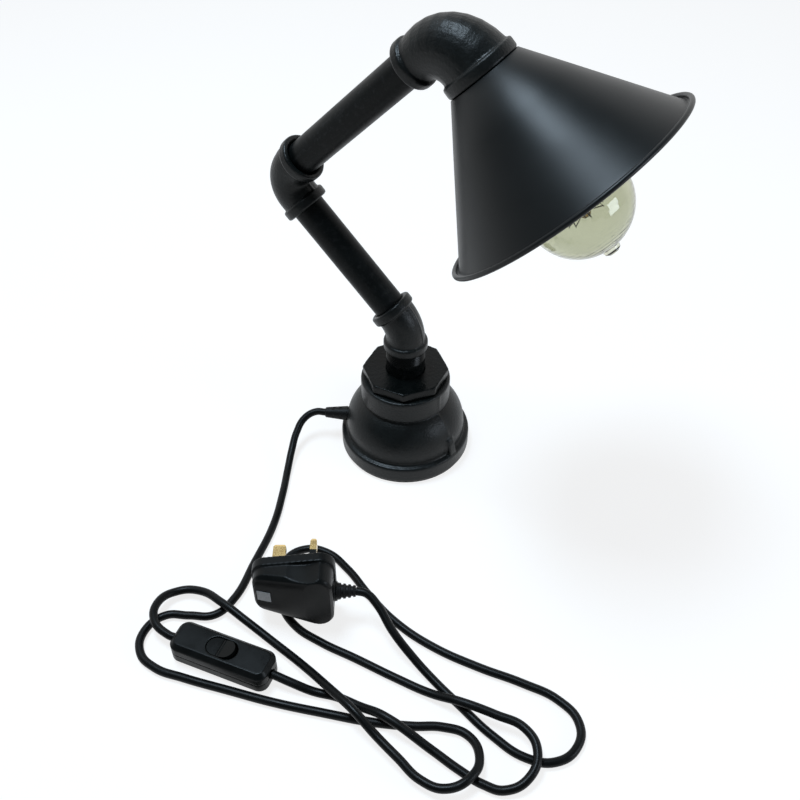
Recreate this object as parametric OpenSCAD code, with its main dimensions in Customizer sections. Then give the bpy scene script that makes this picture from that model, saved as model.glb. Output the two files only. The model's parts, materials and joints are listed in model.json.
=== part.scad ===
// Table lamp made of cast pipe fittings: a reducing socket stands on its wide end as the base,
// two straight pipes and three elbows make the arm, and the last elbow carries a conical
// shade over a filament bulb. A flex leaves the base, with a rocker switch in it and a
// three-pin plug at its end. Millimetres, +Z up, origin at the centre of the underside.

/* [Stance] */
// Compass angle of the plane that the lower pipe leans in
lean_az = 152; // [0:1:359]
// Turn of the upper arm about the lower pipe
arm_turn = 0; // [-60:1:60]
// Turn of the head about the upper pipe
head_turn = 0; // [-90:1:90]

/* [Pipes] */
// Outside diameter of both pipes
pipe_d = 21.3; // [21:0.1:22]
// Bore of both pipes
pipe_bore = 16; // [12:0.5:17]
// Diameter over the threads of the pipe ends
thread_d = 20.95; // [20:0.05:20.95]
// Length of thread inside each socket
thread_reach = 11; // [8:0.5:11.5]
// Lower pipe: distance between the centres of its two elbows
lower_reach = 124.8; // [90:1:180]
// Upper pipe: distance between the centres of its two elbows
upper_reach = 161; // [120:1:220]

/* [Elbows] */
// Radial clearance of a thread in its socket
fit_gap = 0.05; // [0.02:0.01:0.1]
// Gap between the faces that turn against each other
swivel_gap = 0.2; // [0.1:0.05:0.5]
// Outside diameter of the collars
collar_d = 30; // [28:0.5:33]
// Width of the collars
collar_w = 6.5; // [5:0.5:8]
// Outside diameter of the bodies between the collars
elbow_d = 26; // [25:0.5:27]
// Diameter of the passage through the bodies
elbow_way = 16; // [12:0.5:18]
// Depth of the sockets
socket_deep = 12; // [12:0.5:14]
// Depth of the countersink at the mouth of each socket
mouth_deep = 1.8; // [0.5:0.1:2.5]
// Rounding of the collar edges
collar_edge = 1.4; // [0.5:0.1:2]
// Half-bend elbow: centre to face
half_lead = 17.4; // [17:0.1:22]
// Half-bend elbow: radius of its centre line
half_bend = 26.5; // [18:0.5:27]
// Square elbow: centre to face
square_lead = 25.2; // [23:0.1:30]
// Square elbow: radius of its centre line
square_bend = 15; // [14:0.5:17]
// Height of the mould seam above the casting
seam_h = 0.45; // [0.2:0.05:0.8]
// Width of the mould seam
seam_w = 1.2; // [0.8:0.1:2]

/* [Reducing elbow] */
// Centre to the face of the small end
head_lead_in = 33.6; // [32:0.1:38]
// Centre to the face of the large end
head_lead_out = 26.9; // [25:0.1:32]
// Outside diameter of the large collar
head_collar_d = 43.6; // [42:0.1:50]
// Width of the large collar
head_collar_w = 7; // [6:0.5:9]
// Outside diameter of the body next to the large collar
head_body_d = 39.6; // [38:0.1:41]
// Swell of the outer bend beyond a plain taper
head_swell = 3; // [0:0.5:4]
// Diameter over the thread of the large end
head_thread_d = 33.2; // [32:0.05:33.2]
// Depth of the large socket
head_socket_deep = 13; // [12:0.5:15]

/* [Base] */
// Thickness of the pad under the base
pad_t = 1.5; // [1:0.5:3]
// Diameter of the pad
pad_d = 89; // [80:1:90]
// Diameter of the band round the wide end
band_d = 92; // [90:0.2:100]
// Height of the top of the band
band_top = 14; // [10:0.5:15]
// Diameter of the wall above the band
wall_d = 84; // [80:0.5:88]
// Height where the wall turns into the dome
wall_top = 20; // [18:1:24]
// Radius of the dome's profile
dome_r = 28; // [26:0.5:30]
// Height of the underside of the top collar
collar_low = 45; // [43:0.5:46]
// Diameter of the top collar
top_collar_d = 62; // [60:0.5:66]
// Height of the top of the collar
base_h = 62; // [58:0.5:68]
// Bore of the wide end
mouth_bore = 75; // [70:0.5:76]
// Compass angle of the mould seam down the dome
seam_az = -42; // [-90:1:0]

/* [Bush and neck] */
// Diameter over the bush's thread
bush_thread_d = 47.8; // [46:0.1:48]
// Gap between the rim of the base and the head of the bush
bush_lift = 1; // [1:0.5:6]
// Thickness of the octagonal head
bush_t = 6.5; // [5:0.5:10]
// Diameter over the corners of the octagonal head
bush_corner_d = 59.4; // [54:0.2:60]
// Turn of the octagonal head
bush_turn = -3; // [-22:1:22]
// Diameter of the neck
neck_d = 26.4; // [25:0.1:27]
// Height of the neck's shoulder
neck_top = 88; // [84:0.5:100]
// Bore of the neck
neck_bore = 14; // [8:0.5:16]

/* [Shade] */
// Distance from the elbow face to the shade
shade_drop = 0.1; // [0.1:0.1:2]
// Diameter of the flat neck
shade_neck_d = 43.5; // [40:0.5:50]
// Diameter of the cone at its mouth
shade_mouth_d = 141; // [110:1:180]
// Depth of the cone
shade_depth = 70.6; // [50:1:100]
// Width of the outturned flange
flange_w = 5.2; // [3:0.2:8]
// Radius of the rolled rim
roll_r = 1.6; // [1:0.1:2.5]
// Thickness of the sheet
sheet_t = 0.9; // [0.6:0.1:1.5]

/* [Lampholder] */
// Diameter of the hollow stud
stud_d = 10; // [9:0.5:10]
// Bore of the hollow stud
stud_bore = 7; // [6:0.5:7.5]
// Length of the hollow stud
stud_l = 19; // [15:1:19]
// Outside diameter of the lampholder
holder_d = 40; // [38:0.5:44]
// Length of the lampholder's cap
cap_l = 17; // [14:1:20]
// Length of the lampholder's skirt
skirt_l = 30; // [26:1:34]
// Wall of the lampholder
holder_wall = 1.8; // [1.2:0.2:2.4]
// Distance from the elbow centre to the tip of the bulb's contact
contact_t = 41; // [40:0.5:44]

/* [Bulb] */
// Diameter of the globe
globe_d = 60; // [50:1:70]
// Distance from the contact to the centre of the globe
globe_reach = 70.5; // [66:0.5:76]
// Diameter over the screw cap
cap_d = 26.1; // [25:0.1:26.4]
// Length of the screw cap
screw_l = 24; // [20:1:26]
// Thickness of the glass
glass_t = 0.8; // [0.5:0.1:1.2]
// Diameter of the pip at the tip
pip_d = 11; // [6:0.5:14]
// Height of the pip
pip_h = 3.5; // [2:0.5:6]
// Number of lower filament hooks
hooks = 7; // [5:1:9]
// Reach of the lower filament hooks
hook_reach = 11.5; // [8:0.5:14]

/* [Flex] */
// Diameter of the flex
flex_d = 5.2; // [4.8:0.1:6]
// Compass angle of the flex's way out of the base
exit_az = 176; // [150:1:210]
// Height of the flex's way out
exit_z = 22; // [19:1:25]
// Distance of the boot's end from the middle of the base
boot_end = 58; // [56:1:64]
// Diameter of the boot where it enters the wall
boot_d = 10; // [8:0.5:12]

/* [Switch] */
// Length of the switch
switch_l = 64; // [60:1:70]
// Width of the switch
switch_w = 21; // [19:0.5:26]
// Height of the lower half
switch_low = 8; // [7:0.5:9]
// Height of the switch
switch_h = 16.5; // [15:0.5:20]
// Length of the rocker
rocker_l = 18; // [16:0.5:24]
// Width of the rocker
rocker_w = 11.5; // [10:0.5:14]
// Tilt of the rocker to either side
rocker_tilt = 8; // [5:0.5:10]

/* [Plug] */
// Height of the plug across the line and neutral pins
plug_w = 46; // [45:0.5:54]
// Length of the plug from its earth side to its flex side
plug_l = 50; // [46:0.5:54]
// Depth of the plug at its earth side
plug_t = 14; // [12:0.5:16]
// Depth of the plug at its flex side
plug_grip = 21; // [20:0.5:28]
// Spacing of the line and neutral pins
pin_row = 22.2; // [22:0.1:22.4]
// Distance from the earth pin to the row of the other two
pin_rise = 22.2; // [22:0.1:22.4]

/* [Hidden] */
fine = 72;
mid = 40;
pipe_r = pipe_d / 2;
thread_r = thread_d / 2;
socket_r = thread_r + fit_gap;
elbow_r = elbow_d / 2;
collar_r = collar_d / 2;
neck_r = neck_d / 2;
half_angle = 45;
square_angle = 90;
head_way_bend = 15;
flex_r = flex_d / 2;
// Centre of the half-bend elbow
low_z = neck_top + swivel_gap + half_lead;
bush_low = base_h - 12;
bush_face = base_h + bush_lift;
// Where the shade, the lampholder and the bulb lie along the head's axis
shade_t0 = head_lead_out + shade_drop;
shade_t1 = shade_t0 + sheet_t;
shade_mouth_t = shade_t0 + shade_depth;
cap_t1 = shade_t1 + cap_l;
skirt_t1 = cap_t1 + skirt_l;
screw_t0 = contact_t + 3;
screw_t1 = screw_t0 + screw_l;
globe_t = contact_t + globe_reach;
// Planes where the flex is cut between the bodies that turn
cut_low = neck_top + 2;
cut_mid = lower_reach - square_lead + 2;
cut_high = upper_reach - head_lead_in + 2;
// Switch and plug where they lie on the table
switch_at = [-107.8, -188.3, 0];
switch_az = -22;
plug_at = [-67.5, -145.5, plug_w / 2 + flex_d + 0.15];
// Switch: wall, screw bosses, and the rocker's gap, pivot height and pivot radius
shell_t = 2;
shell_r = cap_d / 2 + 1.15;
cap_floor_r = cap_d / 2 - 2.05;
glass_neck_r = cap_d / 2 - 1.85;
boss_at = 22;
boss_r = 3.4;
rocker_gap = 0.45;
rocker_z = 12.6;
pivot_r = 1.2;
// Plug: rim round the pins, corner radius, way out of the flex, length of the boot
rim_t = 6;
plug_round = 9;
plug_exit = [plug_l / 2, -8.5, -4];
plug_boot_l = 11;
// Rectangular pins: offset of each row, and the sections of the earth and live blades
pin_x = pin_rise / 2;
earth_blade = [7.92, 3.97];
live_blade = [3.97, 6.35];
brass = [0.78, 0.62, 0.3];
// Cartridge fuse
fuse_l = 25.4;
fuse_r = 3.15;
fuse_y = -5.5;

// Route of the flex from the base to the switch
LEAD = [
  [-57.9, 4.05, 22], [-64.8, 4.55, 22], [-73, 1, 19], [-78.5, -8, 13.5], [-81.5, -20, 7.5],
  [-83.5, -36, 3.4], [-85, -56, 2.7], [-89, -86, 2.7], [-98, -116, 2.7], [-108.5, -145.5, 2.7],
  [-118.5, -156.3, 2.7], [-134, -156.7, 2.7], [-148.8, -156.8, 2.7], [-159.3, -167.5, 2.7],
  [-159.2, -182.4, 2.7], [-148.5, -193, 2.7], [-131, -199.5, 2.7], [-104, -207.5, 2.7],
  [-76, -215.5, 2.7], [-47, -222, 2.7], [-18, -227.8, 2.7], [4, -230, 2.7], [20, -230.5, 2.7],
  [34, -235.8, 3.2], [39.5, -249, 5.5], [34, -262.3, 8.8], [20.5, -268, 7.5], [7, -262.5, 6],
  [-5, -251, 7.5], [-17, -239, 9], [-30, -226, 13.5], [-44, -211, 10.5], [-61, -193, 5.5],
  [-81, -175.5, 3.8], [-98, -163, 6.8], [-113, -152, 8.8], [-129.7, -140.6, 6],
  [-143.4, -140.7, 5.5], [-153.1, -150.6, 8.5], [-153, -164.3, 9], [-143.1, -174, 8.2],
  [-137.47, -176.31, 8]
];
// Route of the flex from the switch to the plug
TAIL = [
  [-78.13, -200.29, 8], [-66, -205, 6], [-54, -208.5, 2.9], [-40, -212, 2.7], [-27, -218.5, 4],
  [-13, -227, 8.8], [14, -245, 4], [29, -256, 2.7], [41, -263.6, 2.7], [52, -267, 3.2],
  [65.4, -261.4, 6], [71, -248, 8.8], [65.4, -234.6, 9], [50, -226.5, 9], [31, -218.5, 8.8],
  [14, -210.5, 4], [-6, -200, 2.7], [-30, -187, 2.7], [-52, -175.5, 2.7], [-68, -164, 2.7],
  [-78, -148, 2.7], [-82, -130, 2.7], [-78, -114, 2.7], [-66, -105.5, 2.7], [-52, -108, 2.7],
  [-38, -121, 2.7], [-23, -142, 2.7], [-6, -162, 2.7], [16, -179, 2.7], [42, -192.5, 2.7],
  [68, -203.5, 2.7], [87, -214, 2.7], [97, -228, 2.7], [94, -242.5, 2.7], [81, -251, 2.7],
  [65, -248.5, 2.7], [48, -236, 2.7], [30, -217, 2.7], [16, -202, 3.5], [4, -189, 7],
  [-8, -176, 14.5], [-18, -161, 21.5], [-24, -155.5, 23.9], [-30.5, -154, 24.35]
];

// Points of an arc, and a vector of length one
function arc(cx, cy, r, a0, a1, n) =
  [for (i = [0:n]) let (a = a0 + (a1 - a0) * i / n) [cx + r * cos(a), cy + r * sin(a)]];
function unit(v) = v / norm(v);

// Frames: z runs along the lower pipe, along the upper pipe, and out through the shade
module lower_frame() translate([0, 0, low_z]) rotate([0, half_angle, lean_az]) children();
module upper_frame()
  lower_frame() translate([0, 0, lower_reach]) rotate([0, 0, arm_turn]) rotate([0, -90, 0])
    children();
module head_frame()
  upper_frame() translate([0, 0, upper_reach]) rotate([0, 0, head_turn]) rotate([0, -90, 0])
    children();
module exit_frame()
  rotate([0, 0, exit_az]) translate([0, 0, exit_z]) rotate([0, 90, 0]) children();
module switch_frame() translate(switch_at) rotate([0, 0, switch_az]) children();
module plug_frame() translate(plug_at) children();

// Turned disc with rounded outer corners
module band(r, h, edge)
  rotate_extrude($fn = fine)
    polygon(concat([[0, 0]], arc(r - edge, edge, edge, -90, 0, 4),
      arc(r - edge, h - edge, edge, 0, 90, 4), [[0, h]]));

// Round bar bent from +z towards +x, starting at the origin
module bend(bend_r, angle, r)
  translate([bend_r, 0, 0]) rotate([90, 0, 0]) rotate([0, 0, 180 - angle])
    rotate_extrude(angle = angle, $fn = fine) translate([bend_r, 0]) circle(r = r, $fn = mid);

// Round bar through an elbow from face to face, its inlet along -z
module elbow_core(lead, bend_r, angle, r) {
  leg = lead - bend_r * tan(angle / 2);
  translate([0, 0, -lead]) cylinder(h = leg, r = r, $fn = mid);
  translate([0, 0, leg - lead]) bend(bend_r, angle, r);
  rotate([0, angle, 0]) translate([0, 0, lead - leg]) cylinder(h = leg, r = r, $fn = mid);
}

// Socket cut upwards from a face at the origin, with its countersink
module socket(r, deep) {
  translate([0, 0, -1]) cylinder(h = deep + 1, r = r, $fn = fine);
  cylinder(h = mouth_deep, r1 = r + mouth_deep, r2 = r, $fn = fine);
}

// Cast elbow with equal ends
module elbow(lead, bend_r, angle)
  difference() {
    union() {
      elbow_core(lead, bend_r, angle, elbow_r);
      intersection() {
        elbow_core(lead, bend_r, angle, elbow_r + seam_h);
        cube([4 * lead, seam_w, 4 * lead], center = true);
      }
      translate([0, 0, -lead]) band(collar_r, collar_w, collar_edge);
      rotate([0, angle, 0]) translate([0, 0, lead - collar_w])
        band(collar_r, collar_w, collar_edge);
    }
    elbow_core(lead, bend_r, angle, elbow_way / 2);
    translate([0, 0, -lead]) socket(socket_r, socket_deep);
    rotate([0, angle, 0]) translate([0, 0, lead]) rotate([180, 0, 0])
      socket(socket_r, socket_deep);
  }

// Pipe with a thread at each end
module pipe(z0, z1, gap)
  difference() {
    union() {
      translate([0, 0, z0]) cylinder(h = z1 - z0, r = pipe_r, $fn = fine);
      translate([0, 0, z0 - thread_reach])
        cylinder(h = z1 - z0 + 2 * thread_reach + gap, r = thread_r, $fn = fine);
    }
    translate([0, 0, z0 - 2 * thread_reach])
      cylinder(h = z1 - z0 + 5 * thread_reach, d = pipe_bore, $fn = mid);
  }

// Straight wire between two points, with a ball at its start
module wire(p, q, r) {
  v = q - p;
  translate(p) rotate([0, acos(v[2] / norm(v)), atan2(v[1], v[0])])
    cylinder(h = norm(v), r = r, $fn = 16);
  translate(p) sphere(r = r * 1.05, $fn = 16);
}

// Round tube swept along a list of points
module sweep(pts, r, sides) {
  n = len(pts);
  along = [for (i = [0:n - 1]) unit(pts[min(i + 1, n - 1)] - pts[max(i - 1, 0)])];
  ring = [for (i = [0:n - 1]) let (s = unit(cross([0, 0, 1], along[i])), u = cross(along[i], s))
    for (j = [0:sides - 1]) let (a = 360 * j / sides) pts[i] + r * (cos(a) * s + sin(a) * u)];
  walls = [for (i = [0:n - 2]) for (j = [0:sides - 1])
    let (a = i * sides + j, b = i * sides + (j + 1) % sides, c = a + sides, d = b + sides)
    for (t = [0:1]) t == 0 ? [a, c, b] : [b, c, d]];
  polyhedron(points = ring, faces = concat(
    [[for (j = [0:sides - 1]) j]], walls,
    [[for (j = [sides - 1:-1:0]) (n - 1) * sides + j]]), convexity = 10);
}

// ---- Base ----

module foot_pad()
  color("dimgray") cylinder(h = pad_t, d = pad_d, $fn = fine);

module base_reducer() {
  dome_c = wall_d / 2 - dome_r;
  dome_a = asin((collar_low - wall_top) / dome_r);
  inner_r = dome_r - 5;
  color([0.07, 0.07, 0.07]) difference() {
    union() {
      rotate_extrude($fn = fine) polygon(concat(
        [[0, pad_t]],
        arc(band_d / 2 - 1.2, pad_t + 1.2, 1.2, -90, 0, 3),
        arc(band_d / 2 - 1.6, band_top - 1.6, 1.6, 0, 90, 4),
        [[wall_d / 2, band_top]],
        arc(dome_c, wall_top, dome_r, 0, dome_a, 12),
        arc(top_collar_d / 2 - 1, collar_low + 1, 1, -60, 0, 3),
        arc(top_collar_d / 2 - 1.2, base_h - 1.2, 1.2, 0, 90, 3),
        [[0, base_h]]));
      rotate([90, 0, seam_az]) translate([0, 0, -seam_w / 2]) linear_extrude(seam_w)
        polygon(concat([[dome_c, wall_top - 2], [wall_d / 2 + seam_h, wall_top - 2]],
          arc(dome_c, wall_top, dome_r + seam_h, 0, dome_a, 8),
          [[top_collar_d / 2 + seam_h, collar_low + 1], [top_collar_d / 2 + seam_h, base_h - 1.5],
           [dome_c + 5, base_h - 1.5]]));
      rotate([90, 0, seam_az]) translate([0, 0, -2.8]) linear_extrude(5.6)
        polygon([[38, band_top - 4], [45.2, band_top - 4], [45.2, band_top + 2],
          [44.2, band_top + 9], [42.6, band_top + 13], [38, band_top + 13]]);
    }
    rotate_extrude($fn = fine) polygon(concat(
      [[0, -1], [mouth_bore / 2, -1], [mouth_bore / 2, wall_top - 6]],
      arc(dome_c, wall_top, inner_r, 0, 60, 10),
      [[bush_thread_d / 2 + fit_gap, collar_low - 2],
       [bush_thread_d / 2 + fit_gap, base_h + 1], [0, base_h + 1]]));
    exit_frame() cylinder(h = wall_d, d = boot_d + 2 * fit_gap, $fn = mid);
  }
}

module base_bush()
  color([0.08, 0.08, 0.08]) difference() {
    union() {
      intersection() {
        translate([0, 0, bush_face]) rotate([0, 0, bush_turn - 90])
          cylinder(h = bush_t, d = bush_corner_d, $fn = 8);
        translate([0, 0, bush_face]) band(bush_corner_d / 2 + 0.3, bush_t, 1.8);
      }
      translate([0, 0, bush_low])
        cylinder(h = bush_face - bush_low + 1, d = bush_thread_d, $fn = fine);
    }
    translate([0, 0, bush_low - 1])
      cylinder(h = base_h, r = neck_r + fit_gap, $fn = fine);
  }

module neck_nipple() {
  ridge = 0.45;
  ridges = [for (i = [0:4]) let (z = neck_top - 7.5 + 1.4 * i) each
    [[neck_r - ridge, z], [neck_r, z + 0.7]]];
  color([0.1, 0.1, 0.1]) rotate_extrude($fn = fine) polygon(concat(
    [[neck_bore / 2, bush_low + 4], [neck_r, bush_low + 4], [neck_r, neck_top - 8.2]], ridges,
    [[neck_r - ridge, neck_top - 0.4], [neck_r - ridge - 0.4, neck_top], [thread_r, neck_top],
     [thread_r, neck_top + swivel_gap + thread_reach],
     [neck_bore / 2, neck_top + swivel_gap + thread_reach]]));
}

// Rubber boot, blunt at its end, with two slots in each side that let it bend
module cord_boot() {
  root = wall_d / 2 + 0.05;
  wide = boot_d / 2 + 0.3;
  tip_r = flex_r + 1.1;
  slope = (wide - tip_r) / (boot_end - root);
  color([0.05, 0.05, 0.05]) exit_frame() difference() {
    rotate_extrude($fn = mid) polygon([
      [flex_r + 0.1, root - 7], [boot_d / 2, root - 7], [boot_d / 2, root], [wide, root],
      [tip_r, boot_end - 0.6], [tip_r - 0.6, boot_end], [flex_r + 0.1, boot_end]]);
    for (z = [root + 4, root + 9]) for (turn = [0, 90, 180, 270])
      rotate([0, 0, turn]) translate([wide - slope * (z - root) - 0.7, -1.6, z])
        cube([3, 3.2, 1.6]);
  }
}

module flex_base() {
  turn = 12;
  color("black") rotate([0, 0, exit_az]) translate([0, 0, exit_z]) {
    translate([turn, 0, 0]) rotate([0, 90, 0])
      cylinder(h = boot_end - turn, r = flex_r, $fn = mid);
    translate([turn, 0, 0]) rotate([0, -90, 0]) bend(turn, 90, flex_r);
    translate([0, 0, turn]) cylinder(h = cut_low - exit_z - turn, r = flex_r, $fn = mid);
  }
}

// ---- Lower arm ----

module elbow_half()
  color([0.07, 0.07, 0.07]) translate([0, 0, low_z]) rotate([0, 0, lean_az])
    elbow(half_lead, half_bend, half_angle);

module lower_pipe()
  color([0.09, 0.09, 0.09]) lower_frame()
    pipe(half_lead, lower_reach - square_lead - swivel_gap, swivel_gap);

module flex_lower() {
  leg = half_bend * tan(half_angle / 2);
  color("black") translate([0, 0, low_z]) rotate([0, 0, lean_az]) {
    translate([0, 0, cut_low - low_z]) cylinder(h = low_z - leg - cut_low, r = flex_r, $fn = mid);
    translate([0, 0, -leg]) bend(half_bend, half_angle, flex_r);
    rotate([0, half_angle, 0]) translate([0, 0, leg])
      cylinder(h = cut_mid - leg, r = flex_r, $fn = mid);
  }
}

// ---- Upper arm ----

module elbow_square()
  color([0.07, 0.07, 0.07]) lower_frame() translate([0, 0, lower_reach])
    rotate([0, 0, arm_turn + 180]) elbow(square_lead, square_bend, square_angle);

module upper_pipe()
  color([0.09, 0.09, 0.09]) upper_frame()
    pipe(square_lead, upper_reach - head_lead_in - swivel_gap, swivel_gap);

module flex_upper()
  color("black") {
    lower_frame() translate([0, 0, cut_mid])
      cylinder(h = lower_reach - square_bend - cut_mid, r = flex_r, $fn = mid);
    lower_frame() translate([0, 0, lower_reach - square_bend]) rotate([0, 0, arm_turn + 180])
      bend(square_bend, square_angle, flex_r);
    upper_frame() translate([0, 0, square_bend])
      cylinder(h = cut_high - square_bend, r = flex_r, $fn = mid);
  }

// ---- Head ----

// Body of the reducing elbow: sections that fan about a point inside the bend and grow from
// the small end to the large one. Inlet along -z, outlet along +x.
module fan_loft(from_small, from_large, r0, r1, swell, sides, steps) {
  near = from_large - r0;
  far0 = from_large + r0;
  near1 = from_small - r1;
  far1 = from_small + r1;
  rings = [for (k = [0:steps]) let (
      t = 90 * k / steps,
      s = pow(k / steps, 1.35),
      d_in = near + (near1 - near) * s,
      d_out = far0 + (far1 - far0) * s + swell * sin(2 * t),
      mid_d = (d_in + d_out) / 2,
      a = (d_out - d_in) / 2,
      w = r0 + (r1 - r0) * s)
    for (j = [0:sides - 1]) let (b = 360 * j / sides, d = mid_d + a * cos(b))
      [from_large - d * cos(t), -w * sin(b), d * sin(t) - from_small]];
  walls = [for (i = [0:steps - 1]) for (j = [0:sides - 1])
    let (a = i * sides + j, b = i * sides + (j + 1) % sides, c = a + sides, d = b + sides)
    for (t = [0:1]) t == 0 ? [a, c, b] : [b, c, d]];
  polyhedron(points = rings, faces = concat(
    [[for (j = [0:sides - 1]) j]], walls,
    [[for (j = [sides - 1:-1:0]) steps * sides + j]]), convexity = 4);
}

module elbow_reducing() {
  small_t = head_lead_in - collar_w + 1;
  large_t = head_lead_out - head_collar_w;
  color([0.07, 0.07, 0.07]) head_frame() rotate([0, 90, 0]) rotate([0, 0, 180])
    difference() {
      union() {
        fan_loft(small_t, large_t + 0.5, elbow_r, head_body_d / 2, head_swell, 32, 9);
        translate([0, 0, -head_lead_in]) band(collar_r, collar_w, collar_edge);
        translate([large_t, 0, 0]) rotate([0, 90, 0])
          band(head_collar_d / 2, head_collar_w, collar_edge);
      }
      translate([0, 0, -head_lead_in]) socket(socket_r, socket_deep);
      translate([0, 0, -head_lead_in])
        cylinder(h = head_lead_in - head_way_bend, d = elbow_way, $fn = mid);
      translate([0, 0, -head_way_bend]) bend(head_way_bend, square_angle, elbow_way / 2);
      translate([head_way_bend, 0, 0]) rotate([0, 90, 0])
        cylinder(h = head_lead_out - head_way_bend, d = elbow_way, $fn = mid);
      translate([head_lead_out, 0, 0]) rotate([0, -90, 0])
        socket(head_thread_d / 2 + fit_gap, head_socket_deep);
    }
}

// Screwed plug in the large socket, tapped for the hollow stud
module holder_plug()
  color([0.3, 0.3, 0.3]) head_frame() difference() {
    translate([0, 0, shade_t0 - head_socket_deep + 0.7])
      cylinder(h = head_socket_deep - 0.7, d = head_thread_d, $fn = fine);
    translate([0, 0, shade_t0 - 2 * head_socket_deep])
      cylinder(h = 3 * head_socket_deep, d = stud_d + 2 * fit_gap, $fn = mid);
  }

module holder_stud()
  color([0.7, 0.7, 0.65]) head_frame() translate([0, 0, shade_t0 - 12]) difference() {
    cylinder(h = stud_l, d = stud_d, $fn = mid);
    translate([0, 0, -1]) cylinder(h = stud_l + 2, d = stud_bore, $fn = mid);
  }

module shade() {
  lean = atan2((shade_mouth_d - shade_neck_d) / 2, shade_depth);
  skin = sheet_t / cos(lean);
  hole_r = stud_d / 2 + 0.25;
  mouth_r = shade_mouth_d / 2;
  color([0.12, 0.12, 0.12]) head_frame() rotate_extrude($fn = 96) union() {
    polygon([[hole_r, shade_t0], [shade_neck_d / 2, shade_t0], [mouth_r, shade_mouth_t],
      [mouth_r + flange_w, shade_mouth_t + 2.6], [mouth_r + flange_w - 0.4, shade_mouth_t + 3.5],
      [mouth_r - 0.5, shade_mouth_t + 0.9], [shade_neck_d / 2 - skin + 0.6, shade_t1],
      [hole_r, shade_t1]]);
    translate([mouth_r + flange_w, shade_mouth_t + 3.4]) circle(r = roll_r, $fn = 24);
  }
}

module holder_cap()
  color([0.06, 0.06, 0.06]) head_frame() rotate_extrude($fn = fine) polygon(concat(
    [[stud_d / 2 + fit_gap, shade_t1], [12, shade_t1]],
    arc(holder_d / 2 - 9, shade_t1 + 9, 9, -80, 0, 6),
    [[holder_d / 2, cap_t1], [holder_d / 2 - holder_wall, cap_t1]],
    arc(holder_d / 2 - 9, shade_t1 + 9, 9 - holder_wall, 0, -80, 6),
    [[10, shade_t1 + 2.6], [8, shade_t1 + 5], [stud_d / 2 + fit_gap, shade_t1 + 5]]));

module holder_skirt() {
  r = holder_d / 2;
  color([0.06, 0.06, 0.06]) head_frame() rotate_extrude($fn = fine) polygon([
    [r - holder_wall, cap_t1], [r, cap_t1], [r, cap_t1 + 2.5], [r - 0.8, cap_t1 + 3.5],
    [r - 0.8, skirt_t1 - 3], [r, skirt_t1 - 2], [r, skirt_t1 - 0.6], [r - 0.6, skirt_t1],
    [r - 2.4, skirt_t1], [r - 2.4, skirt_t1 - 2], [r - 0.8 - holder_wall, skirt_t1 - 3.4],
    [r - 0.8 - holder_wall, cap_t1 + 3.5]]);
}

// Insulating core: a floor under the contact and a wall round the threaded shell
module holder_core()
  color([0.85, 0.84, 0.8]) head_frame() rotate_extrude($fn = fine) polygon([
    [0, contact_t - 6], [holder_d / 2 - holder_wall - 0.8, contact_t - 6],
    [holder_d / 2 - holder_wall - 0.8, contact_t - 2.5], [shell_r + 2.4, contact_t - 2.5],
    [shell_r + 2.4, skirt_t1 - 10], [shell_r + 0.1, skirt_t1 - 10],
    [shell_r + 0.1, contact_t - 2], [0, contact_t - 2]]);

module holder_shell()
  color([0.8, 0.66, 0.35]) head_frame() rotate_extrude($fn = fine) polygon([
    [shell_r - 3.2, contact_t - 2], [shell_r, contact_t - 2], [shell_r, skirt_t1 - 11],
    [shell_r - 0.7, skirt_t1 - 11], [shell_r - 0.7, contact_t - 1.3],
    [shell_r - 3.2, contact_t - 1.3]]);

module holder_contact()
  color([0.8, 0.66, 0.35]) head_frame() translate([0, 0, contact_t - 2]) {
    translate([-3.5, -8, 0]) cube([7, 12, 1]);
    cylinder(h = 2, r = 2.8, $fn = mid);
  }

module flex_head() {
  turn = head_way_bend;
  color("black") {
    upper_frame() translate([0, 0, cut_high])
      cylinder(h = upper_reach - turn - cut_high, r = flex_r, $fn = mid);
    upper_frame() translate([0, 0, upper_reach - turn]) rotate([0, 0, head_turn + 180])
      bend(turn, 90, flex_r);
    head_frame() translate([0, 0, turn])
      cylinder(h = contact_t - 6 - turn, r = flex_r, $fn = mid);
  }
}

// ---- Bulb ----

module bulb_contact()
  color([0.75, 0.75, 0.7]) head_frame() translate([0, 0, contact_t])
    cylinder(h = 1, r1 = 3.6, r2 = 4.6, $fn = mid);

module bulb_insulator()
  color([0.08, 0.08, 0.1]) head_frame() translate([0, 0, contact_t + 1])
    cylinder(h = 2, r1 = 6, r2 = cap_floor_r, $fn = mid);

module bulb_cap() {
  r = cap_d / 2;
  pitch = 3.6;
  waves = [for (i = [0:4]) let (z = screw_t0 + 2.5 + pitch * i) each
    [[r - 0.9, z], [r, z + pitch / 2]]];
  color([0.78, 0.68, 0.4]) head_frame() rotate_extrude($fn = fine) polygon(concat(
    [[0, screw_t0], [cap_floor_r, screw_t0], [r - 0.9, screw_t0 + 1.4]], waves,
    [[r - 0.4, screw_t1 - 2.4], [r + 0.2, screw_t1], [r - 0.4, screw_t1],
     [r - 1.4, screw_t1 - 2.4], [r - 1.6, screw_t0 + 2], [0, screw_t0 + 1.2]]));
}

// Half profile of the globe; inward sets how far inside the outer surface it lies
function globe_side(inward) = let (r = globe_d / 2, c = globe_t, neck = glass_neck_r) concat(
  [[neck - inward, screw_t1 - 6], [neck + 0.2 - inward, screw_t1 - 2.4],
   [neck + 1.1 - inward, screw_t1 + 0.2], [neck + 2 - inward, screw_t1 + 5],
   [neck + 3.7 - inward, screw_t1 + 11], [neck + 5.7 - inward * 0.95, screw_t1 + 16.2]],
  arc(0, c, r - inward, -52, 78, 22));

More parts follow.
